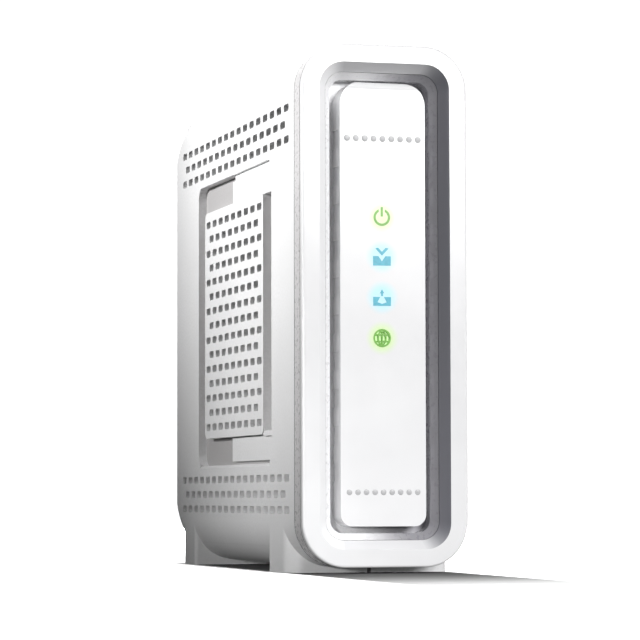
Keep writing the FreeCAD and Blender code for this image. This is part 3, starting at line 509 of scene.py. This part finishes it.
def can_sleeve():
    """Capacitor sleeve: dark film with a bare aluminium top."""
    maker = Maker("can_sleeve")
    top = maker.calc("LESS_THAN", maker.split(maker.coordinates.outputs["Normal"])["X"], -0.7)
    cloud = maker.graded(maker.noise(500.0, 2.0), 0.3, 0.7)
    film = maker.mixed(cloud, rgba(0.03, 0.03, 0.04), rgba(0.05, 0.05, 0.06))
    brushed = maker.noise(1500.0, 3.0)
    maker.use(Base_Color=maker.mixed(top, film, rgba(0.75, 0.75, 0.76)), Metallic=top,
              Roughness=maker.graded(brushed, 0.3, 0.7, 0.25, 0.42),
              Normal=maker.bump(brushed, 0.005 * MM))
    return maker.material


def framed(maker, place, low, high, border):
    """1 inside a box's outline in X and Z, less a border, and 0 outside."""
    return maker.calc("MULTIPLY", within(maker, place["X"], low.x + border, high.x - border),
                      within(maker, place["Z"], low.z + border, high.z - border))


def label_paper():
    """Blank label: a pale film with ruled boxes and no lettering."""
    maker = moulded("label_paper", rgba(0.80, 0.80, 0.79), 0.55, grain=2600.0, relief=0.006)
    low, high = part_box("rating_label")
    place = maker.split(maker.place)
    inside = framed(maker, place, low, high, LABEL_BORDER)
    core = framed(maker, place, low, high, LABEL_BORDER + LABEL_LINE)
    frame_line = maker.calc("SUBTRACT", inside, core)
    height = high.z - low.z - 2 * LABEL_BORDER
    above_border = maker.calc("SUBTRACT", place["Z"], low.z + LABEL_BORDER)
    row = maker.calc("PINGPONG", above_border, height / (2 * LABEL_ROWS))
    rule = maker.calc("MULTIPLY", maker.calc("LESS_THAN", row, LABEL_LINE), inside)
    ink = maker.calc("MAXIMUM", frame_line, rule)
    maker.use(Base_Color=maker.mixed(ink, maker.tone, rgba(0.34, 0.34, 0.36)))
    return maker.material


def link_lights():
    """Amber and green lenses, one each end of the socket."""
    maker = Maker("link_lights", Roughness=0.25, Transmission_Weight=0.25, Emission_Strength=0.12)
    low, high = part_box("ethernet_lights")
    upper = maker.calc("GREATER_THAN", maker.split(maker.place)["Z"], (low.z + high.z) / 2)
    colour = maker.mixed(upper, rgba(0.75, 0.36, 0.05), rgba(0.20, 0.55, 0.10))
    mottle = maker.graded(maker.noise(900.0, 2.0), 0.3, 0.7, 0.75, 1.0)
    shown = maker.mixed(mottle, rgba(0.3, 0.25, 0.1), colour)
    maker.use(Base_Color=shown, Emission_Color=shown)
    return maker.material


def chip_epoxy():
    """Black package with bare tin leads near the board."""
    maker = moulded("chip_epoxy", rgba(0.035, 0.035, 0.037), 0.55, grain=3000.0, relief=0.02, shade=0.7)
    board_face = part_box("main_board")[0].x
    lead = maker.calc("GREATER_THAN", maker.split(maker.place)["X"], board_face - 0.32 * MM)
    maker.use(Base_Color=maker.mixed(lead, maker.tone, rgba(0.6, 0.6, 0.6)), Metallic=lead)
    return maker.material


def plain(name, colour, gloss, **settings):
    return moulded(name, rgba(*colour), gloss, **settings).material


def dress():
    """Gives every CAD node its material, and returns the nickel for the added pieces."""
    tin = metal("tin_plate", rgba(0.72, 0.72, 0.70), 0.3, (1, 0.05, 1)).material
    steel = metal("screw_steel", rgba(0.55, 0.55, 0.57), 0.28).material
    nickel = metal("nickel_plate", rgba(0.70, 0.67, 0.62), 0.22, (1, 0.04, 1)).material
    gold = metal("gold_plate", rgba(0.86, 0.62, 0.26), 0.2, (1, 0.05, 1)).material
    epoxy = chip_epoxy()
    shell = shell_plastic()
    jack = plain("jack_nylon", (0.028, 0.028, 0.03), 0.42, relief=0.02, shade=0.8)
    wear = {
        "left_shell": shell, "right_shell": shell,
        "front_bezel": bezel_plastic(), "bezel_band": band_plastic(),
        "channel_trim": trim_plastic(), "front_panel": panel_plastic(),
        "power_light": lens("green_lens", GREEN_TONES).material,
        "online_light": globe_lens(), "light_guide": clear_acrylic(),
        "indicator_leds": plain("led_epoxy", (0.80, 0.79, 0.74), 0.25, relief=0.004),
        "main_board": solder_mask(),
        "thermal_pad": plain("silicone_pad", (0.34, 0.37, 0.42), 0.75, relief=0.05),
        "heatsink": metal("sink_aluminium", rgba(0.70, 0.71, 0.72), 0.36, (0.05, 1, 0.05)).material,
        "heatsink_pins": plain("pin_nylon", (0.78, 0.78, 0.74), 0.4),
        "electrolytic_capacitors": can_sleeve(),
        "power_inductors": plain("ferrite", (0.075, 0.072, 0.07), 0.6, grain=1500.0, relief=0.06,
                                 shade=0.75),
        "ceramic_capacitors": plain("ceramic", (0.52, 0.40, 0.27), 0.4, shade=0.85),
        "rear_panel": plain("rear_plastic", (0.72, 0.72, 0.725), 0.5, grain=1700.0, relief=0.05),
        "rating_label": label_paper(), "ethernet_lights": link_lights(),
        "coax_insulator": plain("insulator", (0.82, 0.81, 0.77), 0.4, relief=0.01),
        "reset_switch": plain("switch_body", (0.05, 0.05, 0.055), 0.5, shade=0.8),
        "reset_button": plain("button_rubber", (0.035, 0.035, 0.037), 0.62, relief=0.05, shade=0.75),
    }
    shared = (
        (lens("blue_lens", BLUE_TONES).material, ("receive_light", "send_light")),
        (tin, ("tuner_shield_frame", "tuner_shield_lid", "crystal", "ethernet_jack_shield")),
        (steel, ("board_screws", "case_screws")),
        (nickel, ("coax_body", "coax_nut")),
        (gold, ("coax_contact", "ethernet_contacts", "power_jack_pin", "power_jack_spring")),
        (jack, ("ethernet_jack_housing", "power_jack_housing")),
        (epoxy, ("modem_chip", "memory_chip", "flash_chip", "tuner_chip", "ethernet_transformer",
                 "voltage_regulators")),
    )
    for material, names in shared:
        wear.update({name: material for name in names})
    for name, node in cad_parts.items():
        node.data.materials.clear()
        node.data.materials.append(wear[name])
    return nickel


# ---- added pieces ----
def finish_mesh(mesh, name, smooth=True):
    bmesh.ops.recalc_face_normals(mesh, faces=mesh.faces)
    data = bpy.data.meshes.new(name)
    mesh.to_mesh(data)
    mesh.free()
    for face in data.polygons:
        face.use_smooth = smooth
    made = bpy.data.objects.new(name, data)
    bpy.context.scene.collection.objects.link(made)
    return made


def ring(radius, y, centre_x, centre_z, points, lift=None):
    """Circle about an axis along Y; lift adds to the radius by angle."""
    made = []
    for i in range(points):
        angle = 2 * math.pi * i / points
        r = radius + (lift(angle) if lift else 0.0)
        made.append(Vector((centre_x + r * math.cos(angle), y, centre_z + r * math.sin(angle))))
    return made


def add_rings(mesh, rings):
    """Closed skin through rings with equal numbers of points; the last joins the first."""
    rows = [[mesh.verts.new(point) for point in points] for points in rings]
    for a, b in zip(rows, rows[1:] + rows[:1]):
        for i in range(len(a)):
            j = (i + 1) % len(a)
            mesh.faces.new((a[i], a[j], b[j], b[i]))


def thread_lift(y, start, tip):
    """How far the thread's skin lies from its crest at one place along the axis, as a function of angle."""
    run_out = min(1.0, (y - start) / THREAD_PITCH, (tip - y) / THREAD_PITCH)
    chamfer = TIP_CHAMFER * (1 - min(1.0, (tip - y) / TIP_CHAMFER_LENGTH))

    def lift(angle):
        turn = ((y - start) / THREAD_PITCH - angle / (2 * math.pi)) % 1.0
        return -THREAD_DEPTH * (1 - abs(2 * turn - 1)) * run_out - chamfer

    return lift


def coax_barrel(nickel):
    """Barrel with a helical thread outside the nut, bored for the insulator; returns its back end."""
    low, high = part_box("coax_body")
    axis_z = (low.z + high.z) / 2
    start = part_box("coax_nut")[1].y + THREAD_GAP
    tip = high.y
    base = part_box("coax_nut")[0].y - BARREL_TAIL

    def hoop(radius, y, lift=None):
        return ring(radius, y, 0, axis_z, BARREL_POINTS, lift)

    steps = int((tip - start) / THREAD_PITCH * RINGS_PER_TURN)
    rings = [hoop(BARREL_R, base), hoop(BARREL_R, start)]
    for i in range(steps + 1):
        y = start + (tip - start) * i / steps
        rings.append(hoop(THREAD_R, y, thread_lift(y, start, tip)))
    rings += [hoop(BORE_R + TIP_CHAMFER, tip), hoop(BORE_R, tip - TIP_CHAMFER), hoop(BORE_R, base)]
    mesh = bmesh.new()
    add_rings(mesh, rings)
    barrel = finish_mesh(mesh, "coax_threaded_barrel")
    mark_sharp(barrel)
    barrel.data.materials.append(nickel)
    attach(barrel, "housing")
    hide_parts("coax_body")
    return base


def mark_sharp(piece):
    """Breaks the smooth shading at edges sharper than SHARP_ANGLE degrees."""
    mesh = bmesh.new()
    mesh.from_mesh(piece.data)
    for edge in mesh.edges:
        if len(edge.link_faces) == 2:
            edge.smooth = edge.calc_face_angle() < math.radians(SHARP_ANGLE)
    mesh.to_mesh(piece.data)
    mesh.free()


def coax_block(nickel, front):
    """Die-cast block behind the panel that the barrel stands on."""
    low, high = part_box("coax_body")
    mesh = bmesh.new()
    bmesh.ops.create_cube(mesh, size=1.0)
    size = Vector((high.x + BLOCK_HALF, front - low.y, high.z - low.z))
    middle = Vector(((high.x - BLOCK_HALF) / 2, (low.y + front) / 2, (low.z + high.z) / 2))
    bmesh.ops.scale(mesh, vec=size, verts=mesh.verts)
    bmesh.ops.translate(mesh, vec=middle, verts=mesh.verts)
    bmesh.ops.bevel(mesh, geom=mesh.edges[:], offset=BLOCK_EDGE, segments=3, affect="EDGES")
    block = finish_mesh(mesh, "coax_block")
    mark_sharp(block)
    block.data.materials.append(nickel)
    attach(block, "housing")


def printed_dots(name, height, count, pitch, radius, ink):
    """Row of small printed pads on the panel's face, a generic mark; each is domed like thick ink."""
    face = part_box("front_panel")[0].y
    mesh = bmesh.new()
    for i in range(count):
        x = (i - (count - 1) / 2) * pitch
        root = ring(radius, face + DOT_ROOT, x, height, DOT_POINTS)
        rows = [mesh.verts.new(point) for point in root]
        top = ring(radius * SHOULDER_SHARE, face - DOT_SHOULDER, x, height, DOT_POINTS)
        shoulder = [mesh.verts.new(point) for point in top]
        crown = mesh.verts.new((x, face - DOT_CROWN, height))
        for k in range(DOT_POINTS):
            n = (k + 1) % DOT_POINTS
            mesh.faces.new((rows[k], rows[n], shoulder[n], shoulder[k]))
            mesh.faces.new((shoulder[k], shoulder[n], crown))
        mesh.faces.new(rows)
    dots = finish_mesh(mesh, name)
    dots.data.materials.append(ink)
    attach(dots, "housing")


def add_pieces(nickel):
    block_front = coax_barrel(nickel)
    coax_block(nickel, block_front)
    ink = plain("mark_ink", (0.50, 0.50, 0.51), 0.35, grain=2500.0, relief=0.004)
    printed_dots("upper_mark", 107.7 * MM, 9, 2.3 * MM, 0.85 * MM, ink)
    printed_dots("lower_mark", 20.0 * MM, 9, 2.2 * MM, 0.75 * MM, ink)


# ---- putting it together ----
bpy.context.scene.view_settings.view_transform = "Standard"
make_camera()
make_world()
make_lights()
make_floor()
add_pieces(dress())
